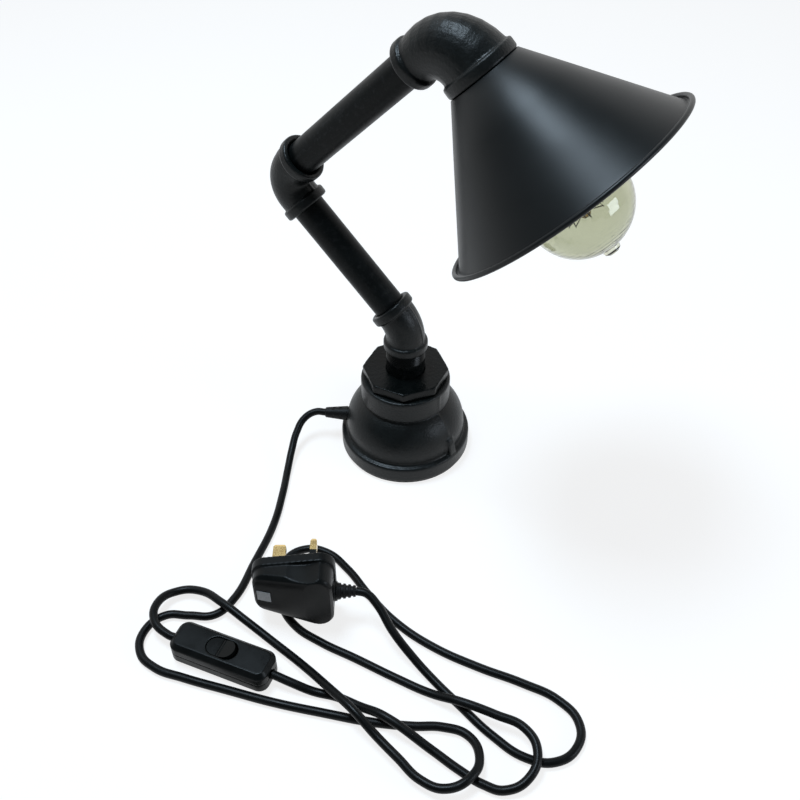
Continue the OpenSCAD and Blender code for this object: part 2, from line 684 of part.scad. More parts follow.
module bulb_glass() {
  tip = globe_t + globe_d / 2;
  outer = concat(globe_side(0), [[pip_d / 2, tip - 0.4], [pip_d / 2 - 0.6, tip + pip_h - 1.4],
    [pip_d / 2 - 2, tip + pip_h - 0.3], [0, tip + pip_h]]);
  inner = globe_side(glass_t);
  inner_end = [[0, tip - glass_t]];
  color([0.75, 0.7, 0.5, 0.35]) head_frame() rotate_extrude($fn = fine) polygon(concat(
    outer, inner_end, [for (i = [len(inner) - 1:-1:0]) inner[i]]));
}

module bulb_stem()
  color([0.85, 0.6, 0.3, 0.6]) head_frame() rotate_extrude($fn = mid) polygon([
    [0, screw_t1 - 5], [glass_neck_r - 1, screw_t1 - 5], [glass_neck_r - 2.2, screw_t1 - 1],
    [5.6, screw_t1 + 3],
    [4.4, screw_t1 + 10], [2.6, screw_t1 + 16], [2.2, globe_t + 3], [3.2, globe_t + 5],
    [3.2, globe_t + 7], [2, globe_t + 8.4], [0, globe_t + 8.8]]);

// Lower hooks stand out from the tip of the stem, upper hooks from its middle
function low_hook(i) = let (a = 360 * i / hooks) [hook_reach * cos(a), hook_reach * sin(a),
  globe_t + 8];
function high_hook(i) = let (a = 360 * (i + 0.5) / hooks) [6.5 * cos(a), 6.5 * sin(a),
  globe_t - 19];

// Collar round the stem that carries a star of hooks
module hook_ring(z)
  rotate_extrude($fn = mid) translate([3.3, z]) square([0.9, 1.2]);

// Star of hooks; turn sets it between the hooks of the other star
module hook_star(z, turn, tips)
  color([0.7, 0.7, 0.7]) head_frame() {
    hook_ring(z);
    for (i = [0:hooks - 1]) let (a = 360 * (i + turn) / hooks)
      wire([3.7 * cos(a), 3.7 * sin(a), z + 0.6], tips[i] + [0, 0, -0.6], 0.3);
  }

module bulb_hooks_low() hook_star(globe_t + 5.2, 0, [for (i = [0:hooks - 1]) low_hook(i)]);
module bulb_hooks_high() hook_star(globe_t - 20, 0.5, [for (i = [0:hooks - 1]) high_hook(i)]);

module bulb_filament()
  color([0.55, 0.5, 0.45]) head_frame()
    for (i = [0:hooks - 2]) {
      wire(low_hook(i), high_hook(i), 0.2);
      wire(high_hook(i), low_hook(i + 1), 0.2);
    }

// ---- Flex, switch and plug ----

module cord_lead() color([0.04, 0.04, 0.04]) sweep(LEAD, flex_r, 10);
module cord_tail() color([0.04, 0.04, 0.04]) sweep(TAIL, flex_r, 10);

// Four posts at the corners of a plate, for rounding it
module posts(l, w, r, z, h)
  for (x = [-1, 1]) for (y = [-1, 1])
    translate([x * (l / 2 - r), y * (w / 2 - r), z]) cylinder(h = h, r = r, $fn = 32);

module switch_inlets()
  for (x = [-1, 1]) translate([x * switch_l / 2, 0, switch_low]) rotate([0, 90, 0])
    cylinder(h = 12, r = flex_r + 0.25, center = true, $fn = mid);

module switch_bottom()
  color([0.05, 0.05, 0.05]) switch_frame() difference() {
    union() {
      difference() {
        hull() {
          posts(switch_l - 3, switch_w - 3, 5, 0, 1);
          posts(switch_l, switch_w, 6, 2, switch_low - 2);
        }
        translate([4 - switch_l / 2, shell_t + 0.8 - switch_w / 2, shell_t])
          cube([switch_l - 8, switch_w - 2 * shell_t - 1.6, switch_low]);
      }
      for (x = [-1, 1]) translate([x * boss_at, 0, 1])
        cylinder(h = switch_low - 1, r = boss_r, $fn = mid);
    }
    switch_inlets();
    for (x = [-1, 1]) translate([x * boss_at, 0, -1]) {
      cylinder(h = switch_low + 2, r = 1.55, $fn = mid);
      cylinder(h = 4, r = 2.9, $fn = mid);
    }
  }

module switch_top()
  color([0.05, 0.05, 0.05]) switch_frame() difference() {
    union() {
      difference() {
        hull() {
          posts(switch_l, switch_w, 6, switch_low, switch_h - switch_low - 3);
          posts(switch_l - 5, switch_w - 5, 4, switch_h - 1, 1);
        }
        translate([4 - switch_l / 2, shell_t + 0.8 - switch_w / 2, switch_low - 1])
          cube([switch_l - 8, switch_w - 2 * shell_t - 1.6, switch_h - switch_low - shell_t + 1]);
      }
      for (x = [-1, 1]) translate([x * boss_at, 0, switch_low])
        cylinder(h = switch_h - switch_low - 1, r = boss_r, $fn = mid);
    }
    switch_inlets();
    for (x = [-1, 1]) translate([x * boss_at, 0, switch_low - 1])
      cylinder(h = 5.5, r = 1.3, $fn = mid);
    translate([0, 0, switch_low])
      stadium(rocker_l + 4 * rocker_gap, rocker_w + 2 * rocker_gap, switch_h);
    translate([0, 0, rocker_z]) rotate([90, 0, 0])
      cylinder(h = switch_w - 3, r = pivot_r + fit_gap, center = true, $fn = mid);
  }

// Plate with two round ends
module stadium(l, w, h) {
  translate([(w - l) / 2, -w / 2, 0]) cube([l - w, w, h]);
  for (x = [-1, 1]) translate([x * (l - w) / 2, 0, 0]) cylinder(h = h, d = w, $fn = mid);
}

// Rocker with a shallow valley across its middle and a pivot pin at each side
module switch_rocker()
  color([0.06, 0.06, 0.06]) switch_frame() translate([0, 0, rocker_z])
    rotate([0, -rocker_tilt, 0]) {
      difference() {
        translate([0, 0, -2.4]) stadium(rocker_l, rocker_w, 9);
        for (s = [0, 180]) rotate([0, 0, s]) translate([0, 0, 3.4]) rotate([0, -8, 0])
          translate([-1, -rocker_w, 0]) cube([rocker_l, 2 * rocker_w, 9]);
      }
      rotate([90, 0, 0]) cylinder(h = switch_w - 3.4, r = pivot_r, center = true, $fn = mid);
    }

module switch_screws()
  color([0.6, 0.6, 0.6]) switch_frame()
    for (x = [-1, 1]) translate([x * boss_at, 0, 0]) difference() {
      union() {
        translate([0, 0, 1.2]) cylinder(h = 1.8, r = 2.7, $fn = mid);
        translate([0, 0, 1.2]) cylinder(h = switch_low + 2, r = 1.25, $fn = mid);
      }
      translate([-3, -0.4, 0]) cube([6, 0.8, 1.9]);
    }

// Rounded outline of the plug, narrower on the earth side; front at y = 0
module plug_plate(l, w_earth, w_flex, r, y0, y1)
  hull() for (x = [-1, 1]) for (z = [-1, 1])
    translate([x * (l / 2 - r), y0, z * ((x < 0 ? w_earth : w_flex) / 2 - r)])
      rotate([90, 0, 0]) cylinder(h = y0 - y1, r = r, $fn = 32);

// Back of the plug: a wedge, thin on the earth side and deep where the flex enters
module plug_back(inset)
  hull() {
    plug_plate(plug_l - 2 * inset, plug_w - 9 - 2 * inset, plug_w - 2 * inset, plug_round,
      0.5 - rim_t, -rim_t - 2);
    for (x = [-1, 1]) for (z = [-1, 1])
      translate([x * (plug_l / 2 - inset - plug_round), 2 - (x < 0 ? plug_t : plug_grip),
        z * (plug_w / 2 - (x < 0 ? 4.5 : 0) - inset - plug_round)])
        rotate([90, 0, 0]) cylinder(h = 2, r1 = plug_round, r2 = plug_round - 1.5, $fn = 32);
  }

module plug_body()
  color([0.05, 0.05, 0.05]) plug_frame() difference() {
    union() {
      plug_plate(plug_l, plug_w - 9, plug_w, plug_round, 0, -rim_t);
      plug_back(1);
      translate(plug_exit + [-3, 0, 0]) rotate([0, 90, 0]) cylinder(h = 4, r = 6, $fn = mid);
    }
    // finger recess in the upper side
    translate([2, -1 - plug_grip, plug_w / 2 + 34]) rotate([-90, 0, 0])
      cylinder(h = plug_grip + 1 - rim_t, r = 38, $fn = fine);
    // seats of the pins, the fuse carrier and the fuse
    translate([-pin_x, 0, 0]) cube([earth_blade[0] + 0.08, 16, earth_blade[1] + 0.08], center = true);
    for (s = [-1, 1]) translate([pin_x, 0, s * pin_row / 2]) {
      cube([2.85, 16, 5.25], center = true);
      cube([live_blade[0] + 0.08, 4, live_blade[1] + 0.1], center = true);
    }
    cube([9.4, 19.2, 29.4], center = true);
    // bore of the flex
    translate(plug_exit + [-9, 0, 0]) rotate([0, 90, 0])
      cylinder(h = 20, r = flex_r + 0.1, $fn = mid);
  }

module plug_boot() {
  tip = flex_r + 0.7;
  root = flex_r + 2.6;
  rings = [for (i = [0:2]) let (z = 2 + 3 * i, r = root - 0.16 * z) each
    [[r, z], [r - 0.9, z + 0.3], [r - 0.9, z + 1.3], [r - 0.2, z + 1.6]]];
  color([0.05, 0.05, 0.05]) plug_frame() translate(plug_exit + [1, 0, 0]) rotate([0, 90, 0])
    rotate_extrude($fn = mid) polygon(concat([[flex_r + 0.1, 0], [root, 0]], rings,
      [[tip, plug_boot_l], [flex_r + 0.1, plug_boot_l]]));
}

module plug_label()
  color([0.75, 0.75, 0.75]) plug_frame()
    translate([2.5 - plug_l / 2, -plug_t, 0])
      rotate([0, 0, -atan2(plug_grip - plug_t, plug_l - 20)])
        translate([1, -0.4, -4]) cube([8.5, 0.4, 8.5]);

// Blade with chamfered tip; w is along x, h along z
module blade(w, h, y0, y1)
  hull() {
    translate([-w / 2, y0, -h / 2]) cube([w, y1 - y0 - 2, h]);
    translate([-w / 2 + 0.9, y0, -h / 2 + 0.9]) cube([w - 1.8, y1 - y0, h - 1.8]);
  }

module pin_earth()
  color(brass) plug_frame() translate([-pin_x, 0, 0]) blade(earth_blade[0], earth_blade[1], -7.5, 22.7);

module live_pin() {
  blade(live_blade[0], live_blade[1], 9, 17.7);
  translate([-1.4, -7.5, -2.6]) cube([2.8, 17, 5.2]);
}

module live_sleeve()
  difference() {
    translate([-live_blade[0] / 2, -2, -live_blade[1] / 2]) cube([live_blade[0], 11, live_blade[1]]);
    translate([-1.42, -3, -2.62]) cube([2.84, 13, 5.24]);
  }

module pin_line()
  color(brass) plug_frame() translate([pin_x, 0, pin_row / 2]) live_pin();
module pin_neutral()
  color(brass) plug_frame() translate([pin_x, 0, -pin_row / 2]) live_pin();
module sleeve_line()
  color([0.08, 0.08, 0.08]) plug_frame() translate([pin_x, 0, pin_row / 2]) live_sleeve();
module sleeve_neutral()
  color([0.08, 0.08, 0.08]) plug_frame() translate([pin_x, 0, -pin_row / 2]) live_sleeve();

module fuse_carrier()
  color([0.1, 0.1, 0.1]) plug_frame() difference() {
    union() {
      translate([-4.6, -2.2, -14.6]) cube([9.2, 2.2, 29.2]);
      for (s = [-1, 1]) translate([-4.6, -7, s * 8 - 2]) cube([9.2, 5, 4]);
    }
    translate([0, fuse_y, -15]) cylinder(h = 30, r = fuse_r + 0.1, $fn = mid);
    translate([-2, -0.9, -5]) cube([4, 2, 10]);
  }

module fuse_link()
  color([0.85, 0.83, 0.78]) plug_frame() translate([0, fuse_y, -fuse_l / 2])
    cylinder(h = fuse_l, r = fuse_r, $fn = mid);

foot_pad();
base_reducer();
base_bush();
neck_nipple();
cord_boot();
flex_base();
elbow_half();
lower_pipe();
flex_lower();
elbow_square();
upper_pipe();
flex_upper();
elbow_reducing();
holder_plug();
holder_stud();
shade();
holder_cap();
holder_skirt();
holder_core();
holder_shell();
holder_contact();
flex_head();
bulb_contact();
bulb_insulator();
bulb_cap();
bulb_glass();
bulb_stem();
bulb_hooks_low();
bulb_hooks_high();
bulb_filament();
cord_lead();
switch_bottom();
switch_top();
switch_rocker();
switch_screws();
cord_tail();
plug_body();
plug_boot();
plug_label();
pin_earth();
pin_line();
pin_neutral();
sleeve_line();
sleeve_neutral();
fuse_carrier();
fuse_link();
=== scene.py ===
import json
import math

import bpy
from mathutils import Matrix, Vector

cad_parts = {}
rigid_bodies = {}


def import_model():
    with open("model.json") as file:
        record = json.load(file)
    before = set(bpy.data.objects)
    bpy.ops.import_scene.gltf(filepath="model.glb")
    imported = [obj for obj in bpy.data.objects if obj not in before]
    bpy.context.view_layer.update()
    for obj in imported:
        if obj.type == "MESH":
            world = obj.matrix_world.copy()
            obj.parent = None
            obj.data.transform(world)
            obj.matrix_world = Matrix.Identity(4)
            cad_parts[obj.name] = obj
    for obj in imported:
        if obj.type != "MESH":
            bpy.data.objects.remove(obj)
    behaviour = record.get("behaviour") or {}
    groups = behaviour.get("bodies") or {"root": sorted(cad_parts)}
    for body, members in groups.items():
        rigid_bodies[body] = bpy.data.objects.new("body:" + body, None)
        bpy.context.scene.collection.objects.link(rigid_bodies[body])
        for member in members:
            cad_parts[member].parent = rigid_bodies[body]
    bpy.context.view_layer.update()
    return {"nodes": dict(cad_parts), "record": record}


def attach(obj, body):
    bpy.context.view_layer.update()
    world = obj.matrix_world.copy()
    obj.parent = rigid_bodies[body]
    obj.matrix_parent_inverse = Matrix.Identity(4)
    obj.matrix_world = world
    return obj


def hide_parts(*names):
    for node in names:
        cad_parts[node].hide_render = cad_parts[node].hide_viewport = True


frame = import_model()

# Camera: place and lens fitted to the photograph, metres and millimetres
CAMERA_PLACE = (-0.00383, -0.49606, 0.50467)
CAMERA_TILT = math.radians(46.74)
CAMERA_LENS = 43.09
CAMERA_SENSOR = 36.0

# White paper under the lamp: how much light it scatters, and its own glow to the eye
PAPER_WHITE = 0.30
PAPER_GLOW = 0.80

# Backdrop in a gloss: heights (sine of the angle above the table) where the white sweep
# fades out, and the depth where it fades into the room in front of the lamp
SWEEP_TOP = (0.64, 0.88)
SWEEP_FRONT = (-0.25, 0.35)

# Table top: its side, and how far it lies below zero so that nothing sinks into it, metres
TABLE_SIDE = 8.0
TABLE_DROP = 0.0003

# Half the thickness of the flex, metres
FLEX_R = 0.0026

# Route of the flex from the base to the switch, metres
LEAD = [
    (-0.0579, 0.00405, 0.022), (-0.0648, 0.00455, 0.022), (-0.073, 0.001, 0.019),
    (-0.0785, -0.008, 0.0135), (-0.0815, -0.02, 0.0075), (-0.0835, -0.036, 0.0034),
    (-0.085, -0.056, 0.0027), (-0.089, -0.086, 0.0027), (-0.098, -0.116, 0.0027),
    (-0.1085, -0.1455, 0.0027), (-0.1185, -0.1563, 0.0027), (-0.134, -0.1567, 0.0027),
    (-0.1488, -0.1568, 0.0027), (-0.1593, -0.1675, 0.0027), (-0.1592, -0.1824, 0.0027),
    (-0.1485, -0.193, 0.0027), (-0.131, -0.1995, 0.0027), (-0.104, -0.2075, 0.0027),
    (-0.076, -0.2155, 0.0027), (-0.047, -0.222, 0.0027), (-0.018, -0.2278, 0.0027),
    (0.004, -0.23, 0.0027), (0.02, -0.2305, 0.0027), (0.034, -0.2358, 0.0032),
    (0.0395, -0.249, 0.0055), (0.034, -0.2623, 0.0088), (0.0205, -0.268, 0.0075),
    (0.007, -0.2625, 0.006), (-0.005, -0.251, 0.0075), (-0.017, -0.239, 0.009),
    (-0.03, -0.226, 0.0135), (-0.044, -0.211, 0.0105), (-0.061, -0.193, 0.0055),
    (-0.081, -0.1755, 0.0038), (-0.098, -0.163, 0.0068), (-0.113, -0.152, 0.0088),
    (-0.1297, -0.1406, 0.006), (-0.1434, -0.1407, 0.0055), (-0.1531, -0.1506, 0.0085),
    (-0.153, -0.1643, 0.009), (-0.1431, -0.174, 0.0082), (-0.13747, -0.17631, 0.008),
]

# Route of the flex from the switch to the plug, metres
TAIL = [
    (-0.07813, -0.20029, 0.008), (-0.066, -0.205, 0.006), (-0.054, -0.2085, 0.0029),
    (-0.04, -0.212, 0.0027), (-0.027, -0.2185, 0.004), (-0.013, -0.227, 0.0088),
    (0.014, -0.245, 0.004), (0.029, -0.256, 0.0027), (0.041, -0.2636, 0.0027),
    (0.052, -0.267, 0.0032), (0.0654, -0.2614, 0.006), (0.071, -0.248, 0.0088),
    (0.0654, -0.2346, 0.009), (0.05, -0.2265, 0.009), (0.031, -0.2185, 0.0088),
    (0.014, -0.2105, 0.004), (-0.006, -0.2, 0.0027), (-0.03, -0.187, 0.0027),
    (-0.052, -0.1755, 0.0027), (-0.068, -0.164, 0.0027), (-0.078, -0.148, 0.0027),
    (-0.082, -0.13, 0.0027), (-0.078, -0.114, 0.0027), (-0.066, -0.1055, 0.0027),
    (-0.052, -0.108, 0.0027), (-0.038, -0.121, 0.0027), (-0.023, -0.142, 0.0027),
    (-0.006, -0.162, 0.0027), (0.016, -0.179, 0.0027), (0.042, -0.1925, 0.0027),
    (0.068, -0.2035, 0.0027), (0.087, -0.214, 0.0027), (0.097, -0.228, 0.0027),
    (0.094, -0.2425, 0.0027), (0.081, -0.251, 0.0027), (0.065, -0.2485, 0.0027),
    (0.048, -0.236, 0.0027), (0.03, -0.217, 0.0027), (0.016, -0.202, 0.0035),
    (0.004, -0.189, 0.007), (-0.008, -0.176, 0.0145), (-0.018, -0.161, 0.0215),
    (-0.024, -0.1555, 0.0239), (-0.0305, -0.154, 0.02435),
]


# ---- Node helpers ----

def math_node(nodes, links, operation, *terms):
    """A Math node; each term is a socket or a number."""
    node = nodes.new("ShaderNodeMath")
    node.operation = operation
    for socket, term in zip(node.inputs, terms):
        if isinstance(term, (int, float)):
            socket.default_value = term
        else:
            links.new(term, socket)
    return node.outputs[0]


def ramp_node(nodes, links, source, start, end, low, high):
    """Maps source from start..end to low..high, held at both ends."""
    node = nodes.new("ShaderNodeMapRange")
    node.inputs["From Min"].default_value = start
    node.inputs["From Max"].default_value = end
    node.inputs["To Min"].default_value = low
    node.inputs["To Max"].default_value = high
    links.new(source, node.inputs["Value"])
    return node.outputs["Result"]


# ---- Camera, table and light ----

def add_camera():
    lens = bpy.data.cameras.new("camera")
    lens.lens = CAMERA_LENS
    lens.sensor_width = CAMERA_SENSOR
    camera = bpy.data.objects.new("camera", lens)
    camera.location = CAMERA_PLACE
    camera.rotation_euler = (CAMERA_TILT, 0.0, 0.0)
    bpy.context.scene.collection.objects.link(camera)
    bpy.context.scene.camera = camera
    bpy.context.scene.view_settings.view_transform = "Standard"


def white_seen_directly(nodes, links, in_gloss=1.0):
    """1 for rays from the camera and through glass, in_gloss for gloss, 0 for diffuse light."""
    path = nodes.new("ShaderNodeLightPath")
    gloss = math_node(nodes, links, "MULTIPLY", path.outputs["Is Glossy Ray"], in_gloss)
    direct = math_node(nodes, links, "MAXIMUM", path.outputs["Is Camera Ray"], gloss)
    return math_node(nodes, links, "MAXIMUM", direct, path.outputs["Is Transmission Ray"])


def table_white():
    """White paper: it glows a little to the eye, and still takes the lamp's shadow."""
    material = bpy.data.materials.new("table_white")
    material.use_nodes = True
    nodes, links = material.node_tree.nodes, material.node_tree.links
    nodes.clear()
    paper = nodes.new("ShaderNodeBsdfDiffuse")
    paper.inputs["Color"].default_value = (PAPER_WHITE, PAPER_WHITE, PAPER_WHITE, 1.0)
    level = math_node(nodes, links, "MULTIPLY", white_seen_directly(nodes, links), PAPER_GLOW)
    glow = nodes.new("ShaderNodeEmission")
    glow.inputs["Color"].default_value = (1.0, 1.0, 1.0, 1.0)
    links.new(level, glow.inputs["Strength"])
    both = nodes.new("ShaderNodeAddShader")
    out = nodes.new("ShaderNodeOutputMaterial")
    links.new(paper.outputs[0], both.inputs[0])
    links.new(glow.outputs[0], both.inputs[1])
    links.new(both.outputs[0], out.inputs["Surface"])
    return material


def add_table():
    bpy.ops.mesh.primitive_plane_add(size=TABLE_SIDE, location=(0.0, 0.0, -TABLE_DROP))
    table = bpy.context.object
    table.name = "table_top"
    bpy.ops.object.transform_apply(location=True, rotation=True, scale=True)
    table.data.materials.append(table_white())


def backdrop(nodes, links):
    """1 on the white sweep behind the lamp, 0 on the ceiling and on the room in front."""
    place = nodes.new("ShaderNodeTexCoord")
    parts = nodes.new("ShaderNodeSeparateXYZ")
    links.new(place.outputs["Generated"], parts.inputs[0])
    below_top = ramp_node(nodes, links, parts.outputs["Z"], *SWEEP_TOP, 1.0, 0.0)
    behind = ramp_node(nodes, links, parts.outputs["Y"], *SWEEP_FRONT, 0.0, 1.0)
    return math_node(nodes, links, "MULTIPLY", below_top, behind)


def add_sky():
    """White to the eye; to gloss, a white sweep behind the lamp in a dimmer room."""
    world = bpy.data.worlds.new("studio")
    bpy.context.scene.world = world
    world.use_nodes = True
    nodes, links = world.node_tree.nodes, world.node_tree.links
    nodes.clear()
    room = nodes.new("ShaderNodeBackground")
    room.inputs["Color"].default_value = (0.88, 0.94, 1.0, 1.0)
    room.inputs["Strength"].default_value = 0.16
    seen = nodes.new("ShaderNodeBackground")
    seen.inputs["Color"].default_value = (1.0, 1.0, 1.0, 1.0)
    seen.inputs["Strength"].default_value = 1.0
    both = nodes.new("ShaderNodeMixShader")
    out = nodes.new("ShaderNodeOutputWorld")
    white = white_seen_directly(nodes, links, backdrop(nodes, links))
    links.new(white, both.inputs[0])
    links.new(room.outputs[0], both.inputs[1])
    links.new(seen.outputs[0], both.inputs[2])
    links.new(both.outputs[0], out.inputs["Surface"])


def add_softbox(name, place, aim, size, power, colour):
    box = bpy.data.lights.new(name, "AREA")
    box.shape = "RECTANGLE"
    box.size, box.size_y = size
    box.energy = power
    box.color = colour
    lamp = bpy.data.objects.new(name, box)
    lamp.location = place
    lamp.rotation_euler = (Vector(aim) - Vector(place)).to_track_quat("-Z", "Y").to_euler()
    bpy.context.scene.collection.objects.link(lamp)


def add_lights():
    """A cool softbox almost overhead and a weaker one low on the right."""
    aim = (0.02, -0.04, 0.17)
    add_softbox("overhead", (-0.30, 0.06, 1.40), aim, (0.50, 0.40), 15.0, (0.70, 0.86, 1.0))
    add_softbox("right", (1.05, -0.50, 0.45), aim, (0.45, 0.45), 4.0, (0.80, 0.89, 1.0))


# ---- Materials ----

def new_material(name, colour, roughness, metallic=0.0, shine=0.5):
    """shine is the strength of the clear reflection, 0.5 for common plastic."""
    material = bpy.data.materials.new(name)
    material.use_nodes = True
    shader = material.node_tree.nodes["Principled BSDF"]
    shader.inputs["Base Color"].default_value = (*colour, 1.0)
    shader.inputs["Roughness"].default_value = roughness
    shader.inputs["Metallic"].default_value = metallic
    shader.inputs["Specular IOR Level"].default_value = shine
    return material, shader


def grain(material, scale, detail, roughness):
    """Noise in metres, fixed to the object; scale is blotches per metre."""
    nodes, links = material.node_tree.nodes, material.node_tree.links
    place = nodes.new("ShaderNodeTexCoord")
    noise = nodes.new("ShaderNodeTexNoise")
    noise.inputs["Scale"].default_value = scale
    noise.inputs["Detail"].default_value = detail
    noise.inputs["Roughness"].default_value = roughness
    links.new(place.outputs["Object"], noise.inputs["Vector"])
    return noise.outputs["Fac"]


def spread(material, source, low, high, start=0.35, end=0.65):
    """Maps a grain to numbers between low and high."""
    tree = material.node_tree
    return ramp_node(tree.nodes, tree.links, source, start, end, low, high)


def tint(material, source, dark, light, start=0.35, end=0.65):
    """Maps a grain to colours between dark and light."""
    ramp = material.node_tree.nodes.new("ShaderNodeValToRGB")
    ramp.color_ramp.elements[0].position = start
    ramp.color_ramp.elements[0].color = (*dark, 1.0)
    ramp.color_ramp.elements[1].position = end
    ramp.color_ramp.elements[1].color = (*light, 1.0)
    material.node_tree.links.new(source, ramp.inputs["Fac"])
    return ramp.outputs["Color"]


def plug_in(material, source, shader, socket):
    """Feeds a grain or a tint into one of the shader's sockets."""
    material.node_tree.links.new(source, shader.inputs[socket])


def relief(material, shader, layers):
    """Stacks bumps; each layer is (grain, height in metres, strength)."""
    nodes, links = material.node_tree.nodes, material.node_tree.links
    below = None
    for source, height, strength in layers:
        bump = nodes.new("ShaderNodeBump")
        bump.inputs["Distance"].default_value = height
        bump.inputs["Strength"].default_value = strength
        links.new(source, bump.inputs["Height"])
        if below is not None:
            links.new(below, bump.inputs["Normal"])
        below = bump.outputs["Normal"]
    links.new(below, shader.inputs["Normal"])


def edge_rub(material, shader, paint, rubbed, wear):
    """Paint that thins on sharp edges, broken up by a wear grain."""
    nodes, links = material.node_tree.nodes, material.node_tree.links
    shape = nodes.new("ShaderNodeNewGeometry")
    sharp = spread(material, shape.outputs["Pointiness"], 0.0, 1.0, 0.53, 0.60)
    broken = math_node(nodes, links, "MULTIPLY", sharp, wear)
    mix = nodes.new("ShaderNodeMix")
    mix.data_type = "RGBA"
    links.new(broken, mix.inputs["Factor"])
    links.new(paint, mix.inputs["A"])
    mix.inputs["B"].default_value = (*rubbed, 1.0)
    links.new(mix.outputs["Result"], shader.inputs["Base Color"])


def cast_paint():
    """Black paint over the rough skin of a sand casting."""
    material, shader = new_material("cast_paint", (0.0045, 0.006, 0.006), 0.34, shine=0.24)
    skin = grain(material, 760.0, 2.0, 0.5)
    sand = grain(material, 2000.0, 3.0, 0.6)
    blotch = grain(material, 90.0, 4.0, 0.6)
    paint = tint(material, blotch, (0.003, 0.0042, 0.0042), (0.006, 0.008, 0.008))
    wear = spread(material, grain(material, 260.0, 3.0, 0.7), 0.0, 0.5, 0.48, 0.62)
    edge_rub(material, shader, paint, (0.05, 0.05, 0.052), wear)
    rough = spread(material, blotch, 0.32, 0.42)
    plug_in(material, rough, shader, "Roughness")
    relief(material, shader, [(skin, 0.00024, 0.8), (sand, 0.00007, 0.6)])
    return material


def neck_paint():
    """Thicker, glossier coat on the bush and the neck."""
    material, shader = new_material("neck_paint", (0.003, 0.004, 0.004), 0.24, shine=0.15)
    skin = grain(material, 480.0, 2.0, 0.4)
    blotch = grain(material, 110.0, 3.0, 0.6)
    paint = tint(material, blotch, (0.002, 0.003, 0.003), (0.004, 0.005, 0.005))
    wear = spread(material, grain(material, 300.0, 3.0, 0.7), 0.0, 0.4, 0.5, 0.64)
    edge_rub(material, shader, paint, (0.05, 0.05, 0.05), wear)
    rough = spread(material, blotch, 0.2, 0.34)
    plug_in(material, rough, shader, "Roughness")
    relief(material, shader, [(skin, 0.00025, 0.4)])
    return material


def pipe_paint():
    """Sprayed satin black on drawn pipe."""
    material, shader = new_material("pipe_paint", (0.004, 0.0052, 0.0052), 0.36, shine=0.11)
    mist = grain(material, 1500.0, 2.0, 0.5)
    blotch = grain(material, 60.0, 4.0, 0.6)
    paint = tint(material, blotch, (0.0035, 0.0045, 0.0045), (0.005, 0.0065, 0.0065))
    wear = spread(material, grain(material, 300.0, 3.0, 0.7), 0.0, 0.4, 0.5, 0.64)
    edge_rub(material, shader, paint, (0.045, 0.045, 0.046), wear)
    rough = spread(material, blotch, 0.33, 0.43)
    plug_in(material, rough, shader, "Roughness")
    relief(material, shader, [(mist, 0.00006, 0.35)])
    return material


def shade_paint():
    """Matt black powder coat on spun sheet."""
    material, shader = new_material("shade_paint", (0.0045, 0.006, 0.0065), 0.38, shine=0.25)
    powder = grain(material, 2600.0, 2.0, 0.5)
    blotch = grain(material, 35.0, 3.0, 0.5)
    paint = tint(material, blotch, (0.004, 0.0055, 0.006), (0.005, 0.0065, 0.007))
    wear = spread(material, grain(material, 200.0, 3.0, 0.7), 0.0, 0.5, 0.5, 0.66)
    edge_rub(material, shader, paint, (0.06, 0.06, 0.06), wear)
    rough = spread(material, blotch, 0.36, 0.40)
    plug_in(material, rough, shader, "Roughness")
    relief(material, shader, [(powder, 0.00004, 0.3)])
    return material


def moulded_black(name, low, high, height):
    """Black moulded plastic, low to high rough, with an eroded texture height metres deep."""
    material, shader = new_material(name, (0.004, 0.005, 0.005), (low + high) / 2, shine=0.13)
    eroded = grain(material, 3200.0, 2.0, 0.5)
    touch = grain(material, 70.0, 4.0, 0.65)
    paint = tint(material, touch, (0.0035, 0.0042, 0.0042), (0.005, 0.006, 0.006))
    plug_in(material, paint, shader, "Base Color")
    rough = spread(material, touch, low, high)
    plug_in(material, rough, shader, "Roughness")
    relief(material, shader, [(eroded, height, 0.35)])
    return material


def flex_sheath():
    """Soft PVC sheath, slightly uneven along its length."""
    material, shader = new_material("flex_sheath", (0.004, 0.0045, 0.0045), 0.34, shine=0.15)
    ripple = grain(material, 260.0, 2.0, 0.5)
    fine = grain(material, 2400.0, 2.0, 0.5)
    dust = grain(material, 45.0, 4.0, 0.65)
    paint = tint(material, dust, (0.003, 0.0035, 0.0035), (0.0055, 0.006, 0.006))
    plug_in(material, paint, shader, "Base Color")
    rough = spread(material, dust, 0.3, 0.44)
    plug_in(material, rough, shader, "Roughness")
    relief(material, shader, [(ripple, 0.00012, 0.3), (fine, 0.00003, 0.3)])
    return material


def boot_rubber():
    """Rubber of the two boots, with a faint bloom."""
    material, shader = new_material("boot_rubber", (0.007, 0.007, 0.007), 0.5, shine=0.2)
    bloom = grain(material, 300.0, 4.0, 0.6)
    paint = tint(material, bloom, (0.005, 0.005, 0.005), (0.010, 0.010, 0.010))
    plug_in(material, paint, shader, "Base Color")
    relief(material, shader, [(grain(material, 2600.0, 2.0, 0.5), 0.00004, 0.4)])
    return material


def foot_foam():
    """Matt cellular pad under the base."""
    material, shader = new_material("foot_foam", (0.02, 0.02, 0.02), 0.85)
    cells = grain(material, 1600.0, 3.0, 0.6)
    shades = tint(material, cells, (0.014, 0.014, 0.014), (0.03, 0.03, 0.03))
    plug_in(material, shades, shader, "Base Color")
    relief(material, shader, [(cells, 0.0002, 0.6)])
    return material


